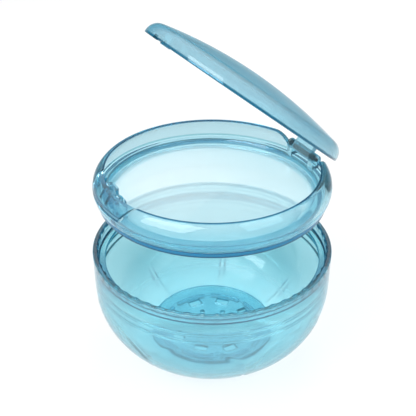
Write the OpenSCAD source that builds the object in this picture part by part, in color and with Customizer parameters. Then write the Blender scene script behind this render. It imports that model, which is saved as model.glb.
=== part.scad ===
// Denture case: a soaking bowl, a shallow tray that stands in its mouth, and a domed lid
// hinged to the tray. The tray is shown lifted off the bowl with its lid part open.
// The base of the bowl is at z = 0, the latch faces -Y and the hinge is at +Y.

/* [Bowl] */
// From the largest diameter of the tray out to the outside of the bowl
mouth_side = 2.3; // [2.2:0.05:3]
// Height of the bowl
bowl_h = 50; // [44:1:64]
// Wall thickness
bowl_wall = 2.1; // [1.8:0.1:2.6]
// Radius of the rounded lower body
bowl_round = 34; // [28:1:38]
// Diameter of the flat foot
foot_d = 48; // [40:1:54]
// Thickness of the floor
bowl_floor = 2; // [1.6:0.1:3]
// Radius of the two rim edges
rim_edge = 0.6; // [0.3:0.1:0.9]

/* [Petals] */
// Petals round the foot
petal_count = 7; // [5:1:9]
// Depth of the groove between two petals, at the foot
petal_depth = 0.6; // [0.4:0.1:1.1]
// Height at which the grooves fade out
petal_top = 24; // [16:1:28]
// Half angle of the groove across
petal_slope = 74; // [60:1:78]
// Turn of the petals against the latch
petal_turn = 3; // [0:1:51]

/* [Bowl mouth] */
// Depth below the rim of the ledge that carries the tray
seat_depth = 4.6; // [3.6:0.1:6]
// How far the ledge stands in from the wall
seat_w = 3; // [2:0.1:3.4]
// Thickness of the ledge at its edge
seat_t = 1.2; // [0.8:0.1:2]
// Small upright ribs that centre the tray
rib_count = 56; // [28:1:72]
// Radius of a rib
rib_r = 0.5; // [0.4:0.1:0.5]
// Distance of the rib tops below the rim
rib_drop = 0.7; // [0.6:0.1:1.2]
// Round beads below the ledge
bead_count = 2; // [1:1:3]
// Distance between two beads
bead_pitch = 3.4; // [2.4:0.1:4]
// Radius of a bead
bead_r = 0.7; // [0.4:0.1:1]

/* [Strainer] */
// Diameter of the strainer plate
strainer_d = 54.6; // [44:0.2:55]
// Thickness of the plate
strainer_t = 1.5; // [1.2:0.1:2]
// Height of the plate above the bowl floor
strainer_rise = 1.6; // [1.6:0.1:4]
// Height and width of the lip round the plate
strainer_lip = 1; // [0.6:0.1:1.6]
// Drain windows
window_count = 8; // [6:1:10]
// Width of a window round the plate
window_w = 6; // [4:0.5:7]
// Length of a window from the middle outwards
window_l = 4.4; // [3:0.2:6]
// Middle of a window from the middle of the plate
window_r = 17; // [14:0.5:18]
// Drain holes
hole_count = 6; // [4:1:8]
// Diameter of a drain hole
hole_d = 2.4; // [1.6:0.2:3]
// Middle of a drain hole from the middle of the plate
hole_r = 9.5; // [7:0.5:10]
// Diameter of the ring that the plate stands on
ring_d = 46; // [42:1:46]
// Wall of that ring
ring_wall = 1.6; // [1.2:0.1:2]

/* [Tray] */
// Diameter of the flat floor of the dish
dish_d = 77; // [70:1:84]
// From the edge of the dish floor out to the largest diameter of the tray
dish_side = 10.2; // [10:0.1:12]
// Radius of the bulge of the collar
bulge_r = 7.8; // [7.7:0.1:8.2]
// Height of the collar
tray_h = 10.8; // [10.4:0.1:12]
// Height of the largest diameter above the bottom of the collar
belly_h = 4.3; // [4.2:0.1:4.6]
// Wall thickness of the collar
tray_wall = 1.8; // [1.5:0.1:2]
// Height of the ledge inside the collar
ledge_h = 3; // [2.4:0.1:3.4]
// Radius of the dish between floor and wall
dish_round = 5.5; // [4.5:0.5:5.5]
// Depth of the dish floor below the bottom of the collar
dish_drop = 1; // [0.5:0.1:1.2]
// Thickness of the dish floor
dish_floor = 1.8; // [1.4:0.1:2.2]
// How far the tray is held above its seat
tray_lift = 28; // [10:1:60]

/* [Seal] */
// Width of the seal ring
seal_w = 1.5; // [1.2:0.1:1.6]
// Height of the seal ring
seal_h = 2.4; // [2:0.1:2.6]

/* [Scoops] */
// Width of the hinge and latch scoops at the tray rim
scoop_w = 35; // [32:1:38]
// Depth of the scoops
scoop_h = 6.5; // [6.2:0.1:6.8]
// Lean of the scoop sides
scoop_lean = 33; // [20:1:40]
// Radius of the scoop corners
scoop_round = 2.4; // [1.6:0.1:3]

/* [Lid] */
// How far the lid edge stands in from the tray rim
lid_in = 0.4; // [0.2:0.1:0.6]
// Height of the lid
lid_h = 10.8; // [9:0.1:14]
// Wall thickness of the dome
lid_wall = 1.6; // [1.3:0.1:1.8]
// Height of the upright band at the edge
band_h = 0.8; // [0.6:0.1:1.3]
// Width of the flange inside the edge
flange_w = 2.4; // [2.2:0.1:3.4]
// Radius between band and dome
shoulder_r = 5.6; // [4:0.1:6]
// Angle at which the lid stands open
lid_open = 39; // [20:1:80]

/* [Hinge] */
// How far the hinge pin stands in from the tray rim
hinge_in = 0.6; // [0.5:0.1:0.8]
// Distance of the hinge pin below the lid edge
hinge_drop = 4; // [3.8:0.1:4.1]
// Diameter of the hinge pin
hinge_pin_d = 1.6; // [1.2:0.1:1.8]
// Width of the lid knuckle
knuckle_w = 12; // [10:0.5:13]
// Radius of the lid knuckle
knuckle_r = 2.1; // [1.8:0.1:2.5]
// Width of each hinge ear
ear_w = 3.5; // [2.5:0.1:4]
// Radius of the hinge ears
ear_r = 2.1; // [1.8:0.1:2.8]

/* [Latch] */
// How far the latch pin stands in from the tray rim
latch_in = 2.6; // [2.4:0.1:2.8]
// Height of the latch pin above the bottom of the collar
latch_z = 8.2; // [8:0.1:8.3]
// Diameter of the latch pin
latch_pin_d = 1.2; // [1:0.1:1.4]
// Thickness of the button plate
button_t = 1.8; // [1.4:0.1:1.8]
// Distance between the inner faces of the two lever arms
fork_w = 4; // [3.8:0.1:4.4]
// Thickness of each lever arm
arm_w = 1.6; // [1.2:0.1:1.8]
// Radius of the lever hubs
hub_r = 1.7; // [1.5:0.05:1.75]
// Radius of the latch ears
latch_ear_r = 2.1; // [1.8:0.1:2.2]
// Width of each latch ear
latch_ear_w = 3.2; // [2.4:0.1:3.6]
// Overlap of hook and lid catch
hook_bite = 0.3; // [0.2:0.05:0.35]
// Thickness of the lid catch
catch_t = 1; // [0.8:0.1:1.1]
// Width of the lid catch
catch_w = 5; // [4:0.2:6]

/* [Latch spring] */
// Diameter of the spring wire
wire_d = 0.4; // [0.3:0.05:0.4]
// Full turns of the spring
spring_turns = 3; // [2:1:3]
// Distance between two turns
spring_pitch = 0.85; // [0.82:0.01:0.88]

/* [Fits] */
// Clearance round a pin that turns
pin_run = 0.05; // [0.02:0.01:0.1]
// Clearance round a pin that is pressed in
pin_press = 0.01; // [0.01:0.01:0.02]
// Clearance beside a knuckle or lever arm
side_gap = 0.3; // [0.2:0.05:0.4]
// Clearance under the closed lid and under the seated tray
seat_gap = 0.2; // [0.1:0.05:0.3]
// Clearance between the button and the edge of its scoop
button_gap = 0.8; // [0.75:0.05:1]
// Distance of the button top below the tray rim
button_drop = 0.3; // [0.25:0.05:0.4]
// Clearance of the pressed-on seal and strainer
press_gap = 0.05; // [0.02:0.01:0.1]

/* [Hidden] */
$fn = 96;
cut = 0.5;

tray_d = dish_d + 2 * dish_side;
bowl_r = tray_d / 2 + mouth_side;
mouth_r = bowl_r - bowl_wall;
arc_x = bowl_r - bowl_round;
arc_z = sqrt(pow(bowl_round, 2) - pow(foot_d / 2 - arc_x, 2));
seat_z = bowl_h - seat_depth;

petal_cuts = 4;
petal_low = 66;
petal_high = asin((arc_z - petal_top) / bowl_round) + 7;
petal_cut_l = 40;
petal_out = 5;

plate_z = bowl_floor + strainer_rise;

belly_r = tray_d / 2;
bulge_x = belly_r - bulge_r;
tray_rim_r = bulge_x + sqrt(pow(bulge_r, 2) - pow(tray_h - belly_h, 2));
tray_foot_r = bulge_x + sqrt(pow(bulge_r, 2) - pow(belly_h, 2));
tray_z = seat_z + seat_gap + seal_h + tray_lift;
spigot_r = tray_foot_r - seal_w - 0.5;
spigot_h = dish_drop + dish_floor;
scoop_z = tray_h - scoop_h + scoop_round;
scoop_x = scoop_w / 2 - (scoop_h - scoop_round) * tan(scoop_lean) - scoop_round / cos(scoop_lean);
scoop_steps = 8;

lid_r = tray_rim_r - lid_in;
lid_z = tray_h + seat_gap;
dome_h = lid_h - band_h;
shoulder_x = lid_r - shoulder_r;
crown_r = (pow(shoulder_x, 2) + pow(dome_h, 2) - pow(shoulder_r, 2)) / (2 * (dome_h - shoulder_r));

hinge_y = tray_rim_r - hinge_in;
hinge_z = lid_z - hinge_drop;
hinge_ear_x = knuckle_w / 2 + side_gap;
ear_root = 0.3;

latch_y = tray_rim_r - latch_in;
latch_ear_x = fork_w / 2 + arm_w + side_gap;
post_t = 1.2;
post_y = latch_y - 0.6;
catch_low = 0.3;
catch_out = post_y - 0.2;
catch_face = catch_out - 0.8;
hook_z = lid_z + 0.5;
hook_h = 0.8;
hook_y = catch_out - hook_bite;
notch_w = fork_w + 2 * arm_w + 4 * side_gap;
notch_h = hook_z + hook_h - lid_z + side_gap;

coil_r = latch_pin_d / 2 + 0.4 + wire_d / 2;
coil_steps = 12;
wire_sides = 6;
coil_from = -30;
coil_to = 360 * spring_turns + 115;
coil_count = round((coil_to - coil_from) / 360 * coil_steps);
coil_w = spring_pitch * (coil_to - coil_from) / 360;
foot_l = (latch_z - ledge_h - wire_d / 2 - 0.1 + coil_r * sin(coil_from)) / cos(coil_from);
arm_l = 2.7;
echo(spring_gap = spring_pitch - wire_d);
echo(hinge_y = hinge_y, hinge_z = tray_z + hinge_z, latch_y = latch_y, latch_z = tray_z + latch_z);

// Half outline of the bowl, filled from the axis, with its walls moved in by t
module bowl_outline(t) {
    intersection() {
        union() {
            translate([arc_x, arc_z]) circle(r = bowl_round - t);
            square([arc_x, bowl_h + cut]);
            translate([0, arc_z]) square([bowl_r - t, bowl_h - arc_z + cut]);
        }
        square([bowl_r, bowl_h + cut]);
    }
}

// Half outline of the rim with both edges rounded
module rim_outline() {
    for (x = [mouth_r + rim_edge, bowl_r - rim_edge])
        translate([x, bowl_h - rim_edge]) circle(r = rim_edge, $fn = 32);
    translate([mouth_r + rim_edge, arc_z])
        square([bowl_wall - 2 * rim_edge, bowl_h - arc_z]);
}

// Half outline of the room that the strainer needs in the bottom of the bowl
module strainer_room() {
    translate([0, bowl_floor]) square([ring_d / 2 + press_gap, plate_z]);
    translate([0, plate_z - press_gap]) square([strainer_d / 2 + press_gap, strainer_t + 2 * strainer_lip]);
}

// Section of the bowl wall with its tray ledge and beads
module bowl_section() {
    difference() {
        bowl_outline(0);
        intersection() {
            bowl_outline(bowl_wall);
            translate([0, bowl_floor]) square([bowl_r, bowl_h]);
        }
        strainer_room();
        translate([0, bowl_h - rim_edge]) square([bowl_r + cut, bowl_h]);
    }
    rim_outline();
    polygon([[mouth_r + cut, seat_z], [mouth_r - seat_w, seat_z],
             [mouth_r - seat_w, seat_z - seat_t], [mouth_r + cut, seat_z - seat_t - seat_w - cut]]);
    for (i = [1 : bead_count])
        translate([mouth_r, seat_z - seat_t - seat_w - i * bead_pitch + bead_pitch / 2])
            circle(r = bead_r, $fn = 32);
}

// Cuts one groove between two petals, as straight V cuts that follow the rounded wall
module petal_cutter() {
    for (i = [0 : petal_cuts - 1]) {
        fall = petal_low - i * (petal_low - petal_high) / (petal_cuts - 1);
        depth = petal_depth * (i == petal_cuts - 1 ? 0.5 : 1);
        translate([arc_x + (bowl_round - depth) * cos(fall), 0, arc_z - (bowl_round - depth) * sin(fall)])
            rotate([0, fall, 0]) translate([0, 0, -petal_cut_l / 2])
                linear_extrude(petal_cut_l)
                    polygon([[0, 0], [petal_out, -petal_out * tan(petal_slope)],
                             [petal_out, petal_out * tan(petal_slope)]]);
    }
}

module bowl() {
    color([0.52, 0.80, 0.87, 0.5]) {
        difference() {
            rotate_extrude() bowl_section();
            for (i = [0 : petal_count - 1])
                rotate([0, 0, 90 + petal_turn + i * 360 / petal_count]) petal_cutter();
        }
        for (i = [0 : rib_count - 1])
            rotate([0, 0, i * 360 / rib_count]) translate([mouth_r, 0, seat_z - cut])
                cylinder(r = rib_r, h = seat_depth - rib_drop + cut, $fn = 16);
    }
}

// Slotted plate that snaps into the bottom of the bowl
module strainer() {
    color([0.36, 0.68, 0.78, 0.6])
        difference() {
            rotate_extrude() {
                translate([0, plate_z]) square([strainer_d / 2, strainer_t]);
                translate([strainer_d / 2 - strainer_lip, plate_z])
                    square([strainer_lip, strainer_t + strainer_lip]);
                translate([ring_d / 2 - ring_wall, bowl_floor + press_gap])
                    square([ring_wall, strainer_rise + strainer_t / 2]);
            }
            for (i = [0 : window_count - 1])
                rotate([0, 0, 90 + i * 360 / window_count])
                    translate([window_r - window_l / 2, -window_w / 2, plate_z - cut])
                        cube([window_l, window_w, strainer_t + 2 * cut]);
            for (i = [0 : hole_count - 1])
                rotate([0, 0, i * 360 / hole_count])
                    translate([hole_r, 0, plate_z - cut]) cylinder(d = hole_d, h = strainer_t + 2 * cut);
            for (i = [0 : window_count - 1])
                rotate([0, 0, 90 + (i + 0.5) * 360 / window_count])
                    translate([ring_d / 2 - 2 * ring_wall, -window_w / 4, bowl_floor])
                        cube([3 * ring_wall, window_w / 2, strainer_rise - 0.2]);
        }
}

// Half outline of the collar, filled from the axis, with its wall moved in by t
module collar_outline(t) {
    intersection() {
        union() {
            translate([bulge_x - t, belly_h]) circle(r = bulge_r);
            square([bulge_x - t, tray_h]);
        }
        square([belly_r, tray_h]);
    }
}

// Section of the tray: collar, inner ledge, dish and the spigot that carries the seal
module tray_section() {
    difference() {
        union() {
            collar_outline(0);
            translate([0, -spigot_h]) square([spigot_r, spigot_h + cut]);
        }
        intersection() {
            collar_outline(tray_wall);
            translate([0, ledge_h]) square([belly_r, tray_h]);
        }
        translate([0, tray_h - cut]) square([tray_rim_r - tray_wall, 2 * cut]);
        intersection() {
            union() {
                translate([0, -dish_drop]) square([dish_d / 2, tray_h]);
                translate([dish_d / 2, dish_round - dish_drop]) circle(r = dish_round);
            }
            translate([0, -dish_drop]) square([belly_r, ledge_h + dish_drop + cut]);
        }
    }
}

// Cutter along Y that makes a scoop in one side of the collar, closed in by t
module scoop(side, t) {
    r = scoop_round - t;
    corner = [for (i = [0 : scoop_steps])
        let (a = -90 + (90 - scoop_lean) * i / scoop_steps)
        [scoop_x + r * cos(a), scoop_z + r * sin(a)]];
    last = corner[scoop_steps];
    top = last + (tray_h + cut - last[1]) * [tan(scoop_lean), 1];
    right = concat(corner, [top]);
    translate([0, dish_d / 2 - 1 + (side > 0 ? belly_r : 1 - dish_d), 0])
        rotate([90, 0, 0]) linear_extrude(belly_r)
            polygon(concat(right, [for (i = [len(right) - 1 : -1 : 0]) [-right[i][0], right[i][1]]]));
}

// One pair of ears at distance y from the axis and height z, each starting at x and w wide
module ears(y, z, r, x, w) {
    for (s = [-1, 1])
        translate([s * (x + w / 2) - w / 2, 0, 0])
            rotate([90, 0, 90])
                linear_extrude(w) {
                    translate([y, z]) circle(r = r, $fn = 48);
                    translate([y - r, ledge_h - ear_root]) square([2 * r, z - ledge_h + ear_root]);
                    translate([y - r, -dish_drop - ear_root])
                        square([dish_d / 2 + dish_round - ear_root - y + r, ledge_h + dish_drop]);
                }
}

// Straight round bar along X, centred at distance y from the axis and height z
module bar(y, z, r, length) {
    translate([-length / 2, y, z]) rotate([0, 90, 0]) cylinder(r = r, h = length);
}

module tray() {
    color([0.55, 0.80, 0.90, 0.5])
        translate([0, 0, tray_z])
            difference() {
                union() {
                    difference() {
                        rotate_extrude() tray_section();
                        scoop(1, 0);
                        scoop(-1, 0);
                    }
                    ears(hinge_y, hinge_z, ear_r, hinge_ear_x, ear_w);
                    mirror([0, 1, 0]) ears(latch_y, latch_z, latch_ear_r, latch_ear_x, latch_ear_w);
                }
                bar(hinge_y, hinge_z, hinge_pin_d / 2 + pin_press, 3 * knuckle_w);
                bar(-latch_y, latch_z, latch_pin_d / 2 + pin_press, 3 * knuckle_w);
            }
}

// Soft ring on the spigot, which lands on the bowl ledge
module tray_seal() {
    color([0.10, 0.42, 0.66, 0.8])
        translate([0, 0, tray_z - seal_h])
            rotate_extrude() {
                edge = 0.4;
                translate([spigot_r + press_gap, edge])
                    square([seal_w, seal_h - edge - press_gap]);
                translate([spigot_r + press_gap, 0]) square([seal_w - edge, edge]);
                translate([spigot_r + press_gap + seal_w - edge, edge]) circle(r = edge, $fn = 32);
            }
}

// Half outline of the lid, filled from the axis, with its wall moved in by t
module dome_outline(t) {
    intersection() {
        translate([0, lid_h - crown_r]) circle(r = crown_r - t, $fn = 360);
        square([shoulder_x * (crown_r - t) / (crown_r - shoulder_r), lid_h]);
    }
    intersection() {
        translate([shoulder_x, band_h]) circle(r = shoulder_r - t);
        square([lid_r, lid_h]);
    }
    square([lid_r - t, band_h]);
}

// The lid as it lies closed, with its edge at z = 0
module closed_lid() {
    difference() {
        union() {
            rotate_extrude()
                difference() {
                    dome_outline(0);
                    difference() {
                        union() {
                            dome_outline(lid_wall);
                            translate([0, -cut]) square([lid_r - flange_w, 2 * cut]);
                        }
                        translate([lid_r - flange_w, -2 * cut]) square([flange_w, band_h + 2 * cut]);
                    }
                }
            bar(hinge_y, -hinge_drop, knuckle_r, knuckle_w);
            translate([-knuckle_w / 2, hinge_y - knuckle_r, -hinge_drop])
                cube([knuckle_w, knuckle_r, hinge_drop + band_h]);
        }
        bar(hinge_y, -hinge_drop, hinge_pin_d / 2 + pin_run, 2 * knuckle_w);
        translate([-notch_w / 2, -lid_r - cut, -cut])
            cube([notch_w, lid_r + cut - catch_face, notch_h + cut]);
    }
    translate([-catch_w / 2, -catch_face, -catch_low])
        cube([catch_w, catch_t, catch_low + band_h + shoulder_r - lid_wall / 2]);
    translate([-catch_w / 2, -catch_out, -catch_low])
        cube([catch_w, catch_out - catch_face + catch_t / 2, 2 * catch_low]);
}

// Moves what lies closed on the tray to the angle at which the lid stands open
module swing_open() {
    translate([0, hinge_y, tray_z + hinge_z]) rotate([-lid_open, 0, 0])
        translate([0, -hinge_y, hinge_drop]) children();
}

module lid() {
    color([0.66, 0.85, 0.90, 0.5]) swing_open() closed_lid();
}

module hinge_pin() {
    color("silver")
        translate([0, 0, tray_z])
            bar(hinge_y, hinge_z, hinge_pin_d / 2, 2 * (hinge_ear_x + ear_w) - side_gap);
}

// Side outline of one lever arm: hub, web to the button plate, and post with its hook
module arm_outline() {
    translate([latch_y, latch_z]) circle(r = hub_r, $fn = 48);
    translate([latch_y, latch_z - hub_r]) square([belly_r - latch_y, 2 * hub_r]);
    translate([post_y, latch_z]) square([post_t, hook_z + hook_h - latch_z]);
}

// Hook that joins the two arms above the spring and holds the lid catch
module hook_outline() {
    under = latch_z + coil_r + wire_d / 2 + 0.2;
    translate([post_y, under]) square([post_t, hook_z + hook_h - under]);
    translate([hook_y, hook_z]) square([post_y + post_t - hook_y, hook_h]);
}

module latch_button() {
    color([0.50, 0.76, 0.88, 0.6])
        translate([0, 0, tray_z]) {
            intersection() {
                rotate_extrude() difference() {
                    collar_outline(0);
                    collar_outline(button_t);
                    translate([0, tray_h - button_drop]) square([belly_r, 2 * button_drop]);
                }
                scoop(-1, button_gap);
            }
            difference() {
                intersection() {
                    mirror([0, 1, 0])
                        rotate([90, 0, 90]) {
                            for (s = [-1, 1])
                                translate([0, 0, s * (fork_w + arm_w) / 2 - arm_w / 2])
                                    linear_extrude(arm_w) arm_outline();
                            translate([0, 0, -fork_w / 2 - cut])
                                linear_extrude(fork_w + 2 * cut) hook_outline();
                        }
                    rotate_extrude() {
                        collar_outline(button_t / 2);
                        translate([0, tray_h - cut]) square([post_y + post_t + 0.3, 2 * cut + 2]);
                    }
                }
                bar(-latch_y, latch_z, latch_pin_d / 2 + pin_run, 3 * fork_w);
            }
        }
}

module latch_pin() {
    color("silver")
        translate([0, 0, tray_z])
            bar(-latch_y, latch_z, latch_pin_d / 2, 2 * (latch_ear_x + latch_ear_w) - side_gap);
}

// Middle line of the torsion spring: a coil round the latch pin, one leg down to the ledge of the
// tray and one leg out to the button plate
function coil_point(a) = [coil_w * ((a - coil_from) / (coil_to - coil_from) - 0.5),
                          coil_r * cos(a), coil_r * sin(a)];
function coil_leg(a, l) = coil_point(a) + l * [0, -sin(a), cos(a)];
coil_path = concat(
    [coil_leg(coil_from, -foot_l), coil_leg(coil_from, -0.3)],
    [for (i = [0 : coil_count]) coil_point(coil_from + i * (coil_to - coil_from) / coil_count)],
    [coil_leg(coil_to, 0.3), coil_leg(coil_to, arm_l)]);

// Direction of a path at point i
function path_dir(p, i) =
    let (v = p[min(i + 1, len(p) - 1)] - p[max(i - 1, 0)]) v / norm(v);

// Tube of round section along a path of points
module tube(p, d, sides) {
    points = [for (i = [0 : len(p) - 1], k = [0 : sides - 1])
        let (t = path_dir(p, i), u = cross(t, [1, 0, 0]) / norm(cross(t, [1, 0, 0])), v = cross(t, u))
        p[i] + d / 2 * (u * cos(360 * k / sides) + v * sin(360 * k / sides))];
    walls = [for (i = [0 : len(p) - 2], k = [0 : sides - 1])
        let (a = i * sides + k, b = i * sides + (k + 1) % sides)
        each [[a, b, a + sides], [b, b + sides, a + sides]]];
    ends = [for (k = [1 : sides - 2])
        each [[0, k + 1, k], [(len(p) - 1) * sides, (len(p) - 1) * sides + k, (len(p) - 1) * sides + k + 1]]];
    polyhedron(points, concat(walls, ends));
}

module latch_spring() {
    color("gray")
        translate([0, -latch_y, tray_z + latch_z]) tube(coil_path, wire_d, wire_sides);
}

bowl();
strainer();
tray();
tray_seal();
lid();
hinge_pin();
latch_button();
latch_pin();
latch_spring();
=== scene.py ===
import math

import bpy
from mathutils import Matrix, Vector


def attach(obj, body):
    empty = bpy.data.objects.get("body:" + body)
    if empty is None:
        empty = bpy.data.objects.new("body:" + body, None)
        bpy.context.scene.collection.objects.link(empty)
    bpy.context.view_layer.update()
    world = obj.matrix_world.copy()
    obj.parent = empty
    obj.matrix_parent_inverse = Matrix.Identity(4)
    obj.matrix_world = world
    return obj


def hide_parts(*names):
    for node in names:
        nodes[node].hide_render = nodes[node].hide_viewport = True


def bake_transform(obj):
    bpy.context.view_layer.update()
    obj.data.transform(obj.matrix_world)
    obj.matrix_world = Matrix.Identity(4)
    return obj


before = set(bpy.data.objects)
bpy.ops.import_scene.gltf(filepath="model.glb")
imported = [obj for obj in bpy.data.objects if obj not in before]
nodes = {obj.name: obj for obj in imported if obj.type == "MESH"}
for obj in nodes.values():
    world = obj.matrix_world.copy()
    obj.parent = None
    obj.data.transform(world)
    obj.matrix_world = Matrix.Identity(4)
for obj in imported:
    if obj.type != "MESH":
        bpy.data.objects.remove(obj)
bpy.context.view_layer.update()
# all sizes of the pieces are in millimetres, the same as in the CAD model
mm = 0.001
# points this near to each other are merged, in metres
pointGap = 0.000001
seamGap = 0.00001
alongX = (0, math.pi / 2, 0)
# each bore is drawn a little smaller than its pin, so that the pin shows through the clear wall
boreFit = 0.005


def pickNothing():
    if bpy.context.mode != "OBJECT":
        bpy.ops.object.mode_set(mode="OBJECT")
    bpy.ops.object.select_all(action="DESELECT")


def pickOnly(piece):
    pickNothing()
    bpy.context.view_layer.objects.active = piece
    piece.select_set(True)


def limit(value):
    return min(1.0, max(0.0, value))


def arcPoints(x, z, radius, start, end, count):
    # points of an arc in the r-z plane, angles in degrees
    points = []
    for i in range(count + 1):
        a = math.radians(start + (end - start) * i / count)
        points.append((x + radius * math.cos(a), z + radius * math.sin(a)))
    return points


def turnOutline(name, outline, steps, z=0.0):
    # a chain of points is extruded in edit mode and spun round the Z axis
    pickNothing()
    bpy.ops.mesh.primitive_plane_add(size=mm, location=(0, 0, 0))
    ring = bpy.context.object
    ring.name = name
    bpy.ops.object.mode_set(mode="EDIT")
    bpy.ops.mesh.select_all(action="SELECT")
    bpy.ops.mesh.merge(type="CENTER")
    first = outline[0]
    bpy.ops.transform.translate(value=(first[0] * mm, 0, (first[1] + z) * mm))
    for before, after in zip(outline, outline[1:]):
        step = ((after[0] - before[0]) * mm, 0, (after[1] - before[1]) * mm)
        bpy.ops.mesh.extrude_region_move(TRANSFORM_OT_translate={"value": step})
    bpy.ops.mesh.select_all(action="SELECT")
    bpy.ops.mesh.remove_doubles(threshold=pointGap)
    bpy.ops.mesh.spin(steps=steps, angle=2 * math.pi, center=(0, 0, 0), axis=(0, 0, 1))
    bpy.ops.mesh.select_all(action="SELECT")
    bpy.ops.mesh.remove_doubles(threshold=seamGap)
    bpy.ops.mesh.normals_make_consistent(inside=False)
    bpy.ops.object.mode_set(mode="OBJECT")
    return ring


def addRod(name, radius, length, place, turn, sides=48):
    pickNothing()
    bpy.ops.mesh.primitive_cylinder_add(vertices=sides, radius=radius * mm, depth=length * mm,
                                        location=[v * mm for v in place], rotation=turn)
    rod = bpy.context.object
    rod.name = name
    bpy.ops.object.transform_apply(location=True, rotation=True, scale=True)
    return rod


def addBlock(name, low, high):
    pickNothing()
    middle = [(h + l) / 2 * mm for l, h in zip(low, high)]
    bpy.ops.mesh.primitive_cube_add(size=1, location=middle)
    block = bpy.context.object
    block.name = name
    block.scale = [(h - l) * mm for l, h in zip(low, high)]
    bpy.ops.object.transform_apply(location=True, rotation=True, scale=True)
    return block


def combine(target, tool, how):
    # applies one boolean and removes the tool
    pickOnly(target)
    step = target.modifiers.new("cut", "BOOLEAN")
    step.operation = how
    step.solver = "EXACT"
    step.object = tool
    bpy.ops.object.modifier_apply(modifier=step.name)
    bpy.data.objects.remove(tool, do_unlink=True)


def finishPiece(piece, body, replaced, material, smooth):
    # a piece without a body here is not attached to one
    pickOnly(piece)
    bpy.ops.object.transform_apply(location=True, rotation=True, scale=True)
    bpy.ops.object.shade_smooth_by_angle(angle=math.radians(smooth))
    piece.data.materials.clear()
    piece.data.materials.append(material)
    if body:
        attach(piece, body)
    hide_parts(replaced)


def feed(node, sockets):
    # a socket takes a link from another socket, or a plain value
    for name, value in sockets.items():
        if isinstance(value, bpy.types.NodeSocket):
            node.id_data.links.new(value, node.inputs[name])
        else:
            node.inputs[name].default_value = value


def addNode(tree, kind, sockets=None, **settings):
    node = tree.nodes.new("ShaderNode" + kind)
    for name, value in settings.items():
        setattr(node, name, value)
    feed(node, sockets or {})
    return node


def mixColour(tree, share, first, second, how="MIX"):
    mix = addNode(tree, "Mix", {"Factor": share, "A": first, "B": second},
                  data_type="RGBA", blend_type=how)
    return mix.outputs["Result"]


def mixShader(tree, share, first, second):
    return addNode(tree, "MixShader", {"Fac": share, 1: first, 2: second}).outputs["Shader"]


def spread(tree, value, low, high, start=0.0, end=1.0, how="LINEAR"):
    # values from low to high become start to end
    node = addNode(tree, "MapRange", {"Value": value, "From Min": low, "From Max": high,
                                      "To Min": start, "To Max": end}, interpolation_type=how)
    return node.outputs["Result"]


def calculate(tree, how, *values):
    return addNode(tree, "Math", dict(enumerate(values)), operation=how).outputs["Value"]


def measure(tree, how, *vectors):
    return addNode(tree, "VectorMath", dict(enumerate(vectors)), operation=how).outputs["Value"]


def joinAll(tree, how, values):
    joined = values[0]
    for value in values[1:]:
        joined = calculate(tree, how, joined, value)
    return joined


def newMaterial(name):
    made = bpy.data.materials.new(name)
    made.use_nodes = True
    tree = made.node_tree
    return made, tree, tree.nodes["Principled BSDF"], tree.nodes["Material Output"]
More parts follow.
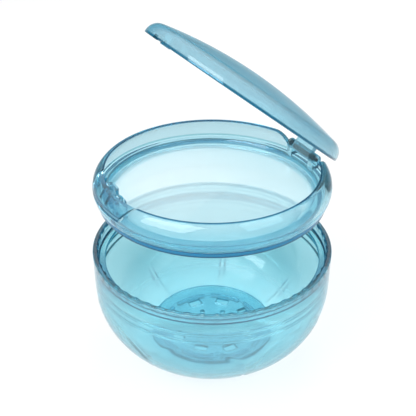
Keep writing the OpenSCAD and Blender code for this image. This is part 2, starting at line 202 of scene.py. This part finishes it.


# Clear plastic: dye gives the colour that builds up with the way through the wall, rim the one
# at a glancing angle, paintedGlow the painted glow given off where light has gone round inside for long.
# frost and haze are by height; shadeLines are windows in x, y, z and r, the distance from the Z axis,
# painted dark as painted shade, like the creases that creaseShade names;
# edge paints a shade colour on what is nearer than near to a plane, or with inside 0 what is further than
# far.
plasticLooks = {
    "bowlPlastic": {
        "base": (0.77, 0.925, 0.95), "dye": (0.10, 0.70, 0.78), "density": 185, "rough": 0.0,
        "clear": 0.92, "paintedGlow": (0.01, 0.20, 0.34), "rim": (0.16, 0.50, 0.66),
        "frost": {"low": 24, "high": 36, "rough": 0.07},
        "haze": {"below": 3.0, "above": 18.0, "clear": 0.58, "colour": (0.80, 0.97, 0.98)},
        # painted shade: dark lines at the inner edge of the rim, at the seat and above it, and along the
        # creases
        "lineShade": (0.01, 0.16, 0.28),
        "shadeLines": ({"r": (48.2, 49.35), "z": (49.1, 50.2)}, {"r": (45.7, 46.2), "z": (43.9, 45.6)},
                  {"r": (48.2, 49.1), "z": (45.3, 45.9)}, {"r": (48.2, 49.1), "z": (47.4, 47.8)}),
        "creaseShade": "crease"},
    "strainerPlastic": {
        "base": (0.72, 0.89, 0.92), "dye": (0.08, 0.66, 0.76), "density": 300, "rough": 0.04,
        "clear": 0.90, "paintedGlow": (0.01, 0.20, 0.34), "rim": (0.08, 0.42, 0.60)},
    "trayPlastic": {
        "base": (0.80, 0.915, 0.94), "dye": (0.14, 0.72, 0.83), "density": 120, "rough": 0.0,
        "clear": 0.96, "paintedGlow": (0.02, 0.28, 0.48), "rim": (0.36, 0.70, 0.84),
        "haze": {"below": 75.3, "above": 76.6, "clear": 0.66, "colour": (0.90, 0.89, 0.875)},
        # painted shade: dark lines at the inner top edge of the lip and on the wall beside the latch
        "lineShade": (0.01, 0.16, 0.30),
        "shadeLines": ({"r": (43.5, 44.3), "z": (86.1, 87.0)},
                  {"r": (43.7, 45.1), "z": (78.6, 79.3), "x": (-24, 2), "y": (-50, -30)})},
    "lidPlastic": {
        "base": (0.64, 0.80, 0.85), "dye": (0.20, 0.72, 0.80), "density": 170, "rough": 0.03,
        "clear": 0.80, "paintedGlow": (0.03, 0.24, 0.36), "rim": (0.30, 0.58, 0.68),
        # painted shade: a dark band is painted along the bottom edge of the lid
        "edge": {"normal": (0, 0.6293, 0.7771), "middle": 96.95, "near": 0.4, "far": 0.8,
                 "inside": 1, "colour": (0.04, 0.26, 0.38)}},
    "buttonPlastic": {
        "base": (0.74, 0.90, 0.94), "dye": (0.10, 0.66, 0.78), "density": 320, "rough": 0.0,
        "clear": 0.94, "paintedGlow": (0.01, 0.18, 0.34), "rim": (0.06, 0.34, 0.54),
        # painted shade: a dark band is painted at one height of the button
        "edge": {"normal": (0, 0, 1), "middle": 80.8, "near": 0.4, "far": 0.9,
                 "inside": 1, "colour": (0.01, 0.12, 0.24)}},
    "sealRubber": {
        "base": (0.02, 0.34, 0.56), "dye": (0.05, 0.55, 0.82), "density": 260, "rough": 0.12,
        "clear": 0.60, "paintedGlow": (0.01, 0.14, 0.30), "rim": (0.01, 0.20, 0.38),
        # painted shade: the seal is painted darker above and below its middle height
        "edge": {"normal": (0, 0, 1), "middle": 74.8, "near": 0.5, "far": 0.8,
                 "inside": 0, "colour": (0.005, 0.07, 0.17)}},
}
# what all the clear plastics have in common
mouldLook = {
    "ior": 1.46, "flow": {"Scale": 55.0, "Detail": 2.0}, "wave": {"Strength": 0.06, "Distance": 0.0006},
    "rub": {"Scale": 160.0, "Detail": 4.0}, "rubFrom": 0.35, "rubTo": 0.75, "rubRough": 0.03,
    "uneven": (0.94, 0.98, 0.985), "glance": {"Blend": 0.5}, "glanceFrom": 0.60, "glanceTo": 0.97,
    "shadow": (0.80, 0.92, 0.95, 1.0), "bounces": 7.5,
}


def addHaze(tree, shader, haze, clear, height, colour):
    # the floor is cloudier than the walls
    low, high = haze["below"] * mm, haze["above"] * mm
    feed(shader, {"Transmission Weight": spread(tree, height, low, high, haze["clear"], clear)})
    return mixColour(tree, spread(tree, height, low, high), (*haze["colour"], 1.0), colour)


def paintShadeLines(tree, look, place, level, colour):
    # painted shade: dark lines are painted where the light goes along an edge for long
    flat = addNode(tree, "VectorMath", {0: place, 1: (1, 1, 0)}, operation="MULTIPLY")
    reads = {"r": measure(tree, "LENGTH", flat.outputs["Vector"]), "x": level.outputs["X"],
             "y": level.outputs["Y"], "z": level.outputs["Z"]}
    shadeMarks = []
    for line in look["shadeLines"]:
        windows = [calculate(tree, "COMPARE", reads[key], (low + high) / 2 * mm, (high - low) / 2 * mm)
                   for key, (low, high) in line.items()]
        shadeMarks.append(joinAll(tree, "MULTIPLY", windows))
    # the creases of the bowl and their strokes are painted dark too, as painted shade
    if "creaseShade" in look:
        shadeMarks.append(addNode(tree, "Attribute", attribute_name=look["creaseShade"]).outputs["Fac"])
    return mixColour(tree, joinAll(tree, "MAXIMUM", shadeMarks), colour, (*look["lineShade"], 1.0))


def paintEdgeShade(tree, edge, place, colour):
    # painted shade: the edge is painted darker, where the light goes the long way along it
    height = measure(tree, "DOT_PRODUCT", place, edge["normal"])
    off = calculate(tree, "SUBTRACT", height, edge["middle"] * mm)
    share = spread(tree, calculate(tree, "ABSOLUTE", off), edge["near"] * mm, edge["far"] * mm,
                   edge["inside"], 1 - edge["inside"])
    return mixColour(tree, share, colour, (*edge["colour"], 1.0))


def clearPlastic(name):
    look = plasticLooks[name]
    made, tree, shader, output = newMaterial(name)
    feed(shader, {"Transmission Weight": look["clear"], "IOR": mouldLook["ior"]})
    place = addNode(tree, "TexCoord").outputs["Object"]
    level = addNode(tree, "SeparateXYZ", {"Vector": place})
    height = level.outputs["Z"]
    # slow flow of the moulding, as a faint waviness
    flow = addNode(tree, "TexNoise", {"Vector": place, **mouldLook["flow"]}).outputs["Fac"]
    wave = addNode(tree, "Bump", {"Height": flow, **mouldLook["wave"]})
    feed(shader, {"Normal": wave.outputs["Normal"]})
    # rubbed spots are a little duller
    rub = addNode(tree, "TexNoise", {"Vector": place, **mouldLook["rub"]}).outputs["Fac"]
    duller = spread(tree, rub, mouldLook["rubFrom"], mouldLook["rubTo"],
                    look["rough"], look["rough"] + mouldLook["rubRough"])
    if "frost" in look:
        # the lower wall is moulded with a satin finish
        frost = look["frost"]
        satin = spread(tree, height, frost["low"] * mm, frost["high"] * mm, frost["rough"], 0.0)
        duller = calculate(tree, "ADD", satin, duller)
    feed(shader, {"Roughness": duller})
    # the dye is not quite even
    deeper = [part * share for part, share in zip(look["base"], mouldLook["uneven"])]
    colour = mixColour(tree, flow, (*look["base"], 1.0), (*deeper, 1.0))
    # at a glancing angle the way through the wall is long and the colour deep
    glance = addNode(tree, "LayerWeight", mouldLook["glance"]).outputs["Facing"]
    turned = spread(tree, glance, mouldLook["glanceFrom"], mouldLook["glanceTo"], how="SMOOTHSTEP")
    colour = mixColour(tree, turned, colour, (*look["rim"], 1.0))
    if "haze" in look:
        colour = addHaze(tree, shader, look["haze"], look["clear"], height, colour)
    if "shadeLines" in look:
        colour = paintShadeLines(tree, look, place, level, colour)
    if "edge" in look:
        colour = paintEdgeShade(tree, look["edge"], place, colour)
    feed(shader, {"Base Color": colour})
    dye = addNode(tree, "VolumeAbsorption", {"Color": (*look["dye"], 1.0), "Density": look["density"]})
    # light goes through to the floor, so the shadow is a tinted one
    path = addNode(tree, "LightPath")
    through = addNode(tree, "BsdfTransparent", {"Color": mouldLook["shadow"]})
    either = mixShader(tree, path.outputs["Is Shadow Ray"], shader.outputs["BSDF"],
                       through.outputs["BSDF"])
    # painted glow: light that has gone round inside for long is given off as the deep colour of the
    # plastic, a glow painted in place of the dark
    paintedGlow = addNode(tree, "Emission", {"Color": (*look["paintedGlow"], 1.0)})
    paintedGlowShare = calculate(tree, "GREATER_THAN", path.outputs["Ray Depth"], mouldLook["bounces"])
    feed(output, {"Surface": mixShader(tree, paintedGlowShare, either, paintedGlow.outputs["Emission"]),
                  "Volume": dye.outputs["Volume"]})
    return made


steelLooks = {
    "pinSteel": {"colour": (0.05, 0.07, 0.08), "rough": 0.08},
    "latchSteel": {"colour": (0.62, 0.63, 0.65), "rough": 0.04},
    "springSteel": {"colour": (0.45, 0.47, 0.50), "rough": 0.2},
}
steelGrain = {"noise": {"Scale": 2500.0, "Detail": 3.0}, "darker": 0.7, "duller": 0.15}


def steelWire(name):
    look = steelLooks[name]
    made, tree, shader, _ = newMaterial(name)
    place = addNode(tree, "TexCoord").outputs["Object"]
    grain = addNode(tree, "TexNoise", {"Vector": place, **steelGrain["noise"]}).outputs["Fac"]
    darker = [part * steelGrain["darker"] for part in look["colour"]]
    tone = mixColour(tree, grain, (*look["colour"], 1.0), (*darker, 1.0))
    dull = spread(tree, grain, 0.0, 1.0, look["rough"], look["rough"] + steelGrain["duller"])
    feed(shader, {"Metallic": 1.0, "Base Color": tone, "Roughness": dull})
    return made


bowlSize = {
    "outer": 51.0, "inner": 48.9, "height": 50.0, "floor": 2.0, "columns": 420, "smooth": 40,
    "edge": 0.6, "edgeStart": 15, "edgeSteps": (4, 5),
    "roundX": 17.0, "roundZ": 33.27, "outerRound": 34.0, "innerRound": 31.9, "roundSteps": 44,
    "outerFoot": -77.4, "innerFoot": -78.3, "footRings": (0, 8, 16, 21.5), "footEnd": 23.7,
    "wallRings": (35, 37, 40, 43, 46, 48), "mouthRings": (49.3, 49.1, 48.7, 48, 47, 46.2, 45.7),
    # the seat that the tray stands on, and the slope under it
    "seatZ": 45.4, "seatR": 45.9, "seatT": 1.2, "seatMiddle": 47.5, "seatEdge": 0.25, "seatStart": 120,
    "slope": ((46.6, 43.5), (47.6, 42.5), (48.4, 41.7)), "slopeEnd": 41.2,
    "beads": (39.5, 36.1), "bead": 0.7, "beadSteps": 8, "wallStart": 34.4,
    # upright ribs in the mouth, from just above the seat into the rounded edge
    "ribFoot": 0.05, "ribIn": 0.42,
    "ribs": 56, "ribDepth": 0.5, "ribSharp": 3.2, "ribLow": 0.2, "ribFadeZ": 47.6, "ribFade": 1.2,
    # petals of the foot: arched tops, the step above them, creases between them, short strokes
    "flatR": 10.0, "skin": 0.2, "petalFoot": 0.3,
    "petals": 7, "petalTurn": 93.0, "petalTop": 36.0, "petalFade": 9.0, "step": 0.22,
    "archTop": 33.0, "archFall": 15.0, "archCurve": 2.2, "archSoft": 2.4,
    "crease": 0.85, "creaseHalf": 1.5, "creaseSoft": 0.5, "creaseTop": 13.5, "creaseFade": 5.0,
    "creaseFoot": 1.5, "strokeAt": 1.15, "strokeHalf": 0.75, "strokeFoot": 5.0, "strokeFade": 3.0,
    "strokeMost": 0.6,
}


def bowlOutline():
    s = bowlSize
    r = s["edge"]
    small = s["seatEdge"]
    outerSteps, innerSteps = s["edgeSteps"]
    outline = [(x, 0) for x in (*s["footRings"], s["footEnd"])]
    outline += arcPoints(s["roundX"], s["roundZ"], s["outerRound"], s["outerFoot"], 0, s["roundSteps"])
    outline += [(s["outer"], z) for z in (*s["wallRings"], s["height"] - r)]
    outline += arcPoints(s["outer"] - r, s["height"] - r, r, s["edgeStart"], 90, outerSteps)
    outline += arcPoints(s["inner"] + r, s["height"] - r, r, 90, 180, innerSteps)
    outline += [(s["inner"], z) for z in (*s["mouthRings"], s["seatZ"])]
    outline += [(s["seatMiddle"], s["seatZ"]), (s["seatR"] + small, s["seatZ"])]
    outline += arcPoints(s["seatR"] + small, s["seatZ"] - small, small, s["seatStart"], 180, 2)
    outline += [(s["seatR"], s["seatZ"] - s["seatT"]), *s["slope"], (s["inner"], s["slopeEnd"])]
    for beadZ in s["beads"]:
        outline += arcPoints(s["inner"], beadZ, s["bead"], 90, 270, s["beadSteps"])
    outline += [(s["inner"], s["wallStart"])]
    outline += arcPoints(s["roundX"], s["roundZ"], s["innerRound"], 0, s["innerFoot"], s["roundSteps"])
    outline += [(x, s["floor"]) for x in reversed(s["footRings"])]
    return outline


def shapeRib(v, angle, radius, z):
    # centring ribs on the mouth, full at the top and fading downwards
    s = bowlSize
    turned = angle * s["ribs"] / 360.0
    near = abs(turned - round(turned))
    move = s["ribDepth"] * max(0.0, 1.0 - near * s["ribSharp"])
    move *= s["ribLow"] + (1.0 - s["ribLow"]) * limit((z - s["ribFadeZ"]) / s["ribFade"])
    factor = (radius - move) / radius
    v.co.x *= factor
    v.co.y *= factor


def shapePetal(v, angle, radius, z):
    # the wall stands back between the petals and above their arched tops
    s = bowlSize
    width = 360.0 / s["petals"]
    turned = (angle - s["petalTurn"]) / width
    across = abs(turned - round(turned)) * 2.0
    arch = s["archTop"] - s["archFall"] * (1.0 - across) ** s["archCurve"]
    above = limit((z - arch) / s["archSoft"])
    above = above * above * (3 - 2 * above)
    fade = limit((s["petalTop"] - z) / s["petalFade"])
    beside = across * width / 2 * math.pi / 180 * radius
    crease = limit((s["creaseHalf"] - beside) / s["creaseSoft"])
    low = limit((s["creaseTop"] - z) / s["creaseFade"]) * min(1.0, z / s["creaseFoot"])
    depth = s["step"] * above * fade + s["crease"] * crease * low
    dx, dz = radius - s["roundX"], z - s["roundZ"]
    away = math.hypot(dx, dz)
    newRadius = s["roundX"] + dx * (away - depth) / away
    v.co.z = (s["roundZ"] + dz * (away - depth) / away) * mm
    v.co.x *= newRadius / radius
    v.co.y *= newRadius / radius
    # painted shade: two short dark strokes are painted where a crease runs out into the wall
    paintedStroke = max(0.0, 1.0 - abs(beside - s["strokeAt"]) / s["strokeHalf"])
    reach = limit(z - s["strokeFoot"]) * limit((s["creaseTop"] - z) / s["strokeFade"])
    return min(s["strokeMost"], paintedStroke * reach)


def buildBowl():
    s = bowlSize
    bowl = turnOutline("bowlShell", bowlOutline(), s["columns"])
    # painted shade: this attribute holds where the creases and their strokes are painted dark
    creaseShade = bowl.data.attributes.new("crease", "FLOAT", "POINT")
    for v in bowl.data.vertices:
        radius = math.hypot(v.co.x, v.co.y) / mm
        z = v.co.z / mm
        if radius < s["flatR"]:
            continue
        angle = math.degrees(math.atan2(v.co.y, v.co.x))
        # the mouth above the seat has the ribs, the outside of the round wall the petals
        outside = math.hypot(radius - s["roundX"], z - s["roundZ"]) > s["outerRound"] - s["skin"]
        if z > s["seatZ"] + s["ribFoot"] and radius < s["inner"] + s["ribIn"]:
            shapeRib(v, angle, radius, z)
        elif s["petalFoot"] < z < s["petalTop"] and outside:
            creaseShade.data[v.index].value = shapePetal(v, angle, radius, z)
    finishPiece(bowl, "bowl", "bowl", clearPlastic("bowlPlastic"), s["smooth"])
    print("bowl done")


# heights of the tray are above its foot, which is at z
traySize = {
    "z": 76.0, "height": 10.8, "steps": 192, "smooth": 30, "wall": 1.8,
    "bottom": -2.8, "bottomRings": (0, 20, 40),
    "spigot": 45.41, "spigotEdge": 0.4, "shoulder": 47.1,
    "bulgeX": 40.9, "bulgeZ": 4.3, "bulge": 7.8, "bulgeLow": -32.0, "bulgeHigh": 54.5, "bulgeSteps": 30,
    "insideLow": -8.5, "insideSteps": 22,
    "lip": (45.05, 44.7, 43.9, 43.6), "lipDrop": 0.08, "ledge": 3.0, "ledgeRings": (46.5, 45.2, 44.1),
    "dishX": 38.5, "dish": 5.5, "dishZ": -1.0, "dishTop": -17, "dishSteps": 16, "dishRings": (30, 15, 0),
    "scoopW": 35.0, "scoopH": 6.5, "scoopLean": 33.0, "scoopRound": 2.4, "scoopSteps": 8,
    "scoopIn": 37.5, "scoopOut": 60.0, "over": 1.0,
    "earFoot": 2.6, "webLow": -1.3, "webHigh": 3.2, "webOut": 43.7, "bore": 30.0,
}
hingeSize = {"y": 44.61, "z": 7.0, "earX": 6.3, "earW": 3.5, "ear": 2.1, "pin": 0.8,
             "knuckle": 2.1, "knuckleW": 12.0, "knuckleSides": 64, "drop": 4.0}
latchSize = {"y": 42.61, "z": 8.2, "earX": 3.9, "earW": 3.2, "ear": 2.1, "pin": 0.6}


def trayOutline():
    s = traySize
    top, low, edge = s["height"], s["bottom"], s["spigotEdge"]
    lip = s["lip"]
    outline = [(x, low) for x in (*s["bottomRings"], s["spigot"] - edge)]
    outline += [(s["spigot"], low + edge), (s["spigot"], 0), (s["shoulder"], 0)]
    outline += arcPoints(s["bulgeX"], s["bulgeZ"], s["bulge"], s["bulgeLow"], s["bulgeHigh"],
                         s["bulgeSteps"])
    outline += [(lip[0], top - s["lipDrop"]), (lip[1], top), (lip[2], top), (lip[3], top - s["lipDrop"])]
    outline += arcPoints(s["bulgeX"] - s["wall"], s["bulgeZ"], s["bulge"],
                         s["bulgeHigh"], s["insideLow"], s["insideSteps"])
    outline += [(x, s["ledge"]) for x in s["ledgeRings"]]
    outline += arcPoints(s["dishX"], s["dishZ"] + s["dish"], s["dish"], s["dishTop"], -90,
                         s["dishSteps"])
    outline += [(x, s["dishZ"]) for x in s["dishRings"]]
    return outline


def cutScoop(piece, side):
    # block with leaning sides and rounded lower corners
    s = traySize
    low = s["z"] + s["height"] - s["scoopH"]
    high = low + s["scoopH"] + s["over"]
    lean = math.radians(s["scoopLean"])
    half = s["scoopW"] / 2 + s["over"] * math.tan(lean)
    lowHalf = half - (s["scoopH"] + s["over"]) * math.tan(lean)
    near, far = sorted((side * s["scoopIn"], side * s["scoopOut"]))
    tool = addBlock("scoopTool", (-half, near, low), (half, far, high))
    justAbove = (low + s["over"]) * mm
    halfWay = (far - near) / 2 * mm
    for v in tool.data.vertices:
        if v.co.z < justAbove:
            v.co.x *= lowHalf / half
    for edge in tool.data.edges:
        ends = [tool.data.vertices[i].co for i in edge.vertices]
        # the two lower edges that run in from the outside
        edge.select = max(e.z for e in ends) < justAbove and abs(ends[0].y - ends[1].y) > halfWay
    bpy.ops.object.mode_set(mode="EDIT")
    bpy.ops.mesh.select_mode(type="EDGE")
    cornerStart = s["scoopRound"] * math.tan((math.pi / 2 - lean) / 2)
    bpy.ops.mesh.bevel(offset=cornerStart * mm, segments=s["scoopSteps"], affect="EDGES")
    bpy.ops.mesh.select_mode(type="VERT")
    bpy.ops.object.mode_set(mode="OBJECT")
    combine(piece, tool, "DIFFERENCE")


def addEars(tray, size, side):
    # two rounded ears with a foot on the ledge, and a web that ties each to the collar
    s = traySize
    y, z, radius = side * size["y"], s["z"] + size["z"], size["ear"]
    webIn, webOut = sorted((side * (size["y"] - radius), side * s["webOut"]))
    for left in (-size["earX"] - size["earW"], size["earX"]):
        right = left + size["earW"]
        ear = addRod("ear", radius, size["earW"], (left + size["earW"] / 2, y, z), alongX)
        foot = addBlock("earFoot", (left, y - radius, s["z"] + s["earFoot"]), (right, y + radius, z))
        combine(ear, foot, "UNION")
        combine(tray, ear, "UNION")
        web = addBlock("earWeb", (left, webIn, s["z"] + s["webLow"]),
                       (right, webOut, s["z"] + s["webHigh"]))
        combine(tray, web, "UNION")


def buildTray():
    s = traySize
    tray = turnOutline("trayShell", trayOutline(), s["steps"], s["z"])
    cutScoop(tray, 1)
    cutScoop(tray, -1)
    # the hinge is at +Y, the latch at -Y
    places = ((hingeSize, 1), (latchSize, -1))
    for size, side in places:
        addEars(tray, size, side)
    for size, side in places:
        bore = addRod("pinBore", size["pin"] - boreFit, s["bore"],
                      (0, side * size["y"], s["z"] + size["z"]), alongX)
        combine(tray, bore, "DIFFERENCE")
    finishPiece(tray, "tray", "tray", clearPlastic("trayPlastic"), s["smooth"])
    print("tray done")


# heights of the seal are from the foot of the tray, chamfers are given as across and down
sealSize = {"inner": 45.46, "outer": 46.96, "low": -2.4, "high": -0.05, "steps": 192, "smooth": 35,
            "edge": 0.4, "edgeStart": -60, "edgeSteps": 4,
            "outerChamfer": (0.26, 0.25), "innerChamfer": (0.14, 0.15)}


def buildSeal():
    s = sealSize
    inner, outer, low, high, edge = s["inner"], s["outer"], s["low"], s["high"], s["edge"]
    outline = [(inner, low + edge), (inner + edge, low), (outer - edge, low)]
    outline += arcPoints(outer - edge, low + edge, edge, s["edgeStart"], 0, s["edgeSteps"])
    across, down = s["outerChamfer"]
    outline += [(outer, high - down), (outer - across, high)]
    across, down = s["innerChamfer"]
    outline += [(inner + across, high), (inner, high - down), outline[0]]
    seal = turnOutline("sealRing", outline, s["steps"], traySize["z"])
    finishPiece(seal, "tray", "tray_seal", clearPlastic("sealRubber"), s["smooth"])
    print("seal done")


# the lid is built closed, with its bottom edge at height 0, and swung open last
lidSize = {
    "edge": 44.81, "band": 0.8, "height": 10.8, "wall": 1.6, "flange": 42.41, "shoulder": 5.6,
    "open": 39.0, "steps": 192, "smooth": 30, "edgeRound": 0.3, "edgeMiddle": 0.08, "bandTop": 0.2,
    "shoulderSteps": 14, "domeSteps": 26, "insideSteps": 10, "webTop": 0.1, "bore": 20.0,
    # notch for the button plate, and the catch that the hook of the latch holds
    "face": 41.01, "notchW": 8.4, "notchH": 1.6, "notchOut": 2.0, "notchLow": -1.0,
    "catchW": 5.0, "catchOut": 41.81, "stemIn": 1.0, "stemTop": 5.6, "lipIn": 0.5, "lipHalf": 0.3,
}


def lidOutline():
    s = lidSize
    edge, small, flange = s["edge"], s["edgeRound"], s["flange"]
    centre = (edge - s["shoulder"], s["band"])
    rise = s["height"] - s["band"]
    # the dome meets the rounded shoulder without a corner
    crown = (centre[0] ** 2 + rise ** 2 - s["shoulder"] ** 2) / (2 * (rise - s["shoulder"]))
    lean = 90 - math.degrees(math.atan2(centre[0], crown - rise))
    domeZ = s["height"] - crown
    outline = [(flange + small, 0), (edge - small, 0), (edge - s["edgeMiddle"], s["edgeMiddle"]),
               (edge, small), (edge, s["band"] - s["bandTop"])]
    outline += arcPoints(*centre, s["shoulder"], 0, lean, s["shoulderSteps"])
    outline += arcPoints(0, domeZ, crown, lean, 90, s["domeSteps"])[1:]
    outline += arcPoints(0, domeZ, crown - s["wall"], 90, lean, s["domeSteps"])
    outline += arcPoints(*centre, s["shoulder"] - s["wall"], lean, 0, s["insideSteps"])[1:]
    outline += [(flange + small, s["band"]), (flange, s["band"] - small), (flange, small), outline[0]]
    return outline


def addKnuckle(lid):
    s, h = lidSize, hingeSize
    half, y = h["knuckleW"] / 2, h["y"]
    knuckle = addRod("knuckle", h["knuckle"], h["knuckleW"], (0, y, -h["drop"]), alongX,
                     sides=h["knuckleSides"])
    web = addBlock("knuckleWeb", (-half, y - h["knuckle"], -h["drop"]),
                   (half, y, s["band"] - s["webTop"]))
    combine(knuckle, web, "UNION")
    combine(lid, knuckle, "UNION")
    bore = addRod("knuckleBore", h["pin"] - boreFit, s["bore"], (0, y, -h["drop"]), alongX)
    combine(lid, bore, "DIFFERENCE")


def addCatch(lid):
    s = lidSize
    half, low, face = s["catchW"] / 2, -s["lipHalf"], -s["face"]
    stem = addBlock("catchStem", (-half, face, low), (half, face + s["stemIn"], s["stemTop"]))
    lip = addBlock("catchLip", (-half, -s["catchOut"], low), (half, face + s["lipIn"], s["lipHalf"]))
    combine(stem, lip, "UNION")
    combine(lid, stem, "UNION")


def buildLid():
    s, h = lidSize, hingeSize
    lid = turnOutline("lidDome", lidOutline(), s["steps"])
    notch = addBlock("notchTool", (-s["notchW"] / 2, -s["edge"] - s["notchOut"], s["notchLow"]),
                     (s["notchW"] / 2, -s["face"], s["notchH"]))
    combine(lid, notch, "DIFFERENCE")
    addKnuckle(lid)
    addCatch(lid)
    pin = (0, h["y"] * mm, (traySize["z"] + h["z"]) * mm)
    swing = (Matrix.Translation(pin) @ Matrix.Rotation(math.radians(-s["open"]), 4, "X")
             @ Matrix.Translation((0, -h["y"] * mm, h["drop"] * mm)))
    lid.matrix_world = swing @ lid.matrix_world
    finishPiece(lid, "lid", "lid", clearPlastic("lidPlastic"), s["smooth"])
    print("lid done")


# still and moving are the Y places between which the wire goes over from tray to button
springSize = {"levels": 1, "smooth": 60, "still": -44.3, "moving": -45.4}


def buildSpring():
    # the wire of the CAD model, made round
    s = springSize
    wire = bpy.data.objects.new("springWire", nodes["latch_spring"].data.copy())
    bpy.context.collection.objects.link(wire)
    pickOnly(wire)
    bpy.ops.object.mode_set(mode="EDIT")
    bpy.ops.mesh.select_all(action="SELECT")
    bpy.ops.mesh.remove_doubles(threshold=pointGap)
    bpy.ops.mesh.normals_make_consistent(inside=False)
    bpy.ops.object.mode_set(mode="OBJECT")
    rounder = wire.modifiers.new("round", "SUBSURF")
    rounder.levels = s["levels"]
    rounder.render_levels = s["levels"]
    bpy.ops.object.modifier_apply(modifier=rounder.name)
    finishPiece(wire, None, "latch_spring", steelWire("springSteel"),
                s["smooth"])
    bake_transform(wire)
    print("spring done")


def dressNodes():
    looks = {
        "strainer": clearPlastic("strainerPlastic"), "latch_button": clearPlastic("buttonPlastic"),
        "hinge_pin": steelWire("pinSteel"), "latch_pin": steelWire("latchSteel"),
    }
    for name, look in looks.items():
        nodes[name].data.materials.clear()
        nodes[name].data.materials.append(look)
    print("carried parts dressed")


cameraSize = {"lens": 65.0, "place": (238.1, -126.6, 228.6), "aim": (0.0, 0.0, 66.7), "aside": 1.75,
              "clip": 0.01}


def setCamera():
    s = cameraSize
    place = Vector(s["place"]) * mm
    aim = Vector(s["aim"]) * mm
    right = (aim - place).cross(Vector((0, 0, 1))).normalized()
    aim -= right * s["aside"] * mm
    data = bpy.data.cameras.new("camera")
    data.lens = s["lens"]
    data.clip_start = s["clip"]
    camera = bpy.data.objects.new("camera", data)
    bpy.context.collection.objects.link(camera)
    camera.location = place
    camera.rotation_euler = (aim - place).to_track_quat("-Z", "Y").to_euler()
    bpy.context.scene.camera = camera
    print("camera set")


# lamps and floor are in metres; gloss and through say whether a lamp shows in and through plastic
lampAim = (0, 0, 0.07)
lampSizes = {
    "keyLamp": {"place": (0.15, -0.55, 0.65), "size": 0.6, "power": 5.0, "gloss": True, "through": True},
    "fillLamp": {"place": (0.65, 0.25, 0.45), "size": 0.5, "power": 2.5, "gloss": False, "through": True},
    "backLamp": {"place": (-0.5, 0.45, 0.6), "size": 0.5, "power": 3.0, "gloss": False, "through": False},
}
roomLook = {"strength": 0.55, "low": 0.25, "high": 0.75, "walls": (0.06, 0.32, 0.48, 1),
            "ceiling": (0.93, 0.95, 0.96, 1)}


def addLamp(name, size):
    data = bpy.data.lights.new(name, "AREA")
    data.size = size["size"]
    data.energy = size["power"]
    lamp = bpy.data.objects.new(name, data)
    bpy.context.collection.objects.link(lamp)
    lamp.location = size["place"]
    lamp.rotation_euler = (Vector(lampAim) - Vector(size["place"])).to_track_quat("-Z", "Y").to_euler()
    lamp.visible_glossy = size["gloss"]
    lamp.visible_transmission = size["through"]


def setStudio():
    # the lamps light the object plainly, the world gives the white ground
    for name, size in lampSizes.items():
        addLamp(name, size)
    world = bpy.data.worlds.new("studio")
    bpy.context.scene.world = world
    world.use_nodes = True
    tree = world.node_tree
    plain = tree.nodes["Background"]
    feed(plain, {"Color": (1, 1, 1, 1), "Strength": roomLook["strength"]})
    white = addNode(tree, "Background", {"Strength": 1.0})
    # a bright ceiling over dark walls gives the clear plastic its dark edges
    way = addNode(tree, "TexCoord").outputs["Generated"]
    height = addNode(tree, "SeparateXYZ", {"Vector": way}).outputs["Z"]
    rise = spread(tree, height, roomLook["low"], roomLook["high"])
    room = addNode(tree, "Background",
                   {"Color": mixColour(tree, rise, roomLook["walls"], roomLook["ceiling"])})
    path = addNode(tree, "LightPath").outputs
    seen = calculate(tree, "MAXIMUM", path["Is Transmission Ray"], path["Is Glossy Ray"])
    lit = mixShader(tree, seen, plain.outputs["Background"], room.outputs["Background"])
    shown = mixShader(tree, path["Is Camera Ray"], lit, white.outputs["Background"])
    feed(tree.nodes["World Output"], {"Surface": shown})
    print("studio set")


floorLook = {
    "size": 8.0, "drop": 0.0003, "colour": (0.9, 0.9, 0.9, 1), "rough": 0.9, "glow": 0.75,
    # painted light: seen through the object the floor's glow is painted fading to the far colour
    "farFrom": 0.15, "farTo": 0.42, "far": (0.12, 0.34, 0.46, 1),
    # painted shadow: the shade colour is painted round shadeAt
    "shadeAt": (-0.054, 0.029, 0), "shadeFrom": 0.035, "shadeTo": 0.075, "paintedShadow": (0.18, 0.45, 0.50, 1),
}


def addFloor():
    look = floorLook
    white = (1, 1, 1, 1)
    pickNothing()
    bpy.ops.mesh.primitive_plane_add(size=look["size"], location=(0, 0, -look["drop"]))
    floor = bpy.context.object
    floor.name = "floor"
    bpy.ops.object.transform_apply(location=True, rotation=True, scale=True)
    made, tree, shader, output = newMaterial("paleFloor")
    feed(shader, {"Base Color": look["colour"], "Roughness": look["rough"]})
    where = addNode(tree, "TexCoord").outputs["Object"]
    # painted light: seen through the object the floor's glow is painted to fall off with the distance,
    # into blue
    falloffShare = spread(tree, measure(tree, "LENGTH", where), look["farFrom"], look["farTo"])
    paintedFalloff = mixColour(tree, falloffShare, white, look["far"])
    # and a painted shadow: the blue shade that the bowl throws behind itself is painted into the glow
    beside = measure(tree, "DISTANCE", where, look["shadeAt"])
    paintedShadow = spread(tree, beside, look["shadeFrom"], look["shadeTo"], how="SMOOTHSTEP")
    tone = mixColour(tree, paintedShadow, look["paintedShadow"], white)
    paintedDim = mixColour(tree, 1.0, tone, paintedFalloff, "MULTIPLY")
    path = addNode(tree, "LightPath").outputs
    glow = addNode(tree, "Emission", {"Color": mixColour(tree, path["Is Camera Ray"], paintedDim, white)})
    seen = calculate(tree, "MAXIMUM", path["Is Camera Ray"], path["Is Transmission Ray"])
    seen = calculate(tree, "MAXIMUM", seen, path["Is Glossy Ray"])
    share = calculate(tree, "MULTIPLY", seen, look["glow"])
    feed(output, {"Surface": mixShader(tree, share, shader.outputs["BSDF"], glow.outputs["Emission"])})
    floor.data.materials.append(made)
    print("floor laid")


bpy.context.scene.view_settings.view_transform = "Standard"
setCamera()
setStudio()
buildBowl()
buildTray()
buildSeal()
buildLid()
buildSpring()
dressNodes()
addFloor()
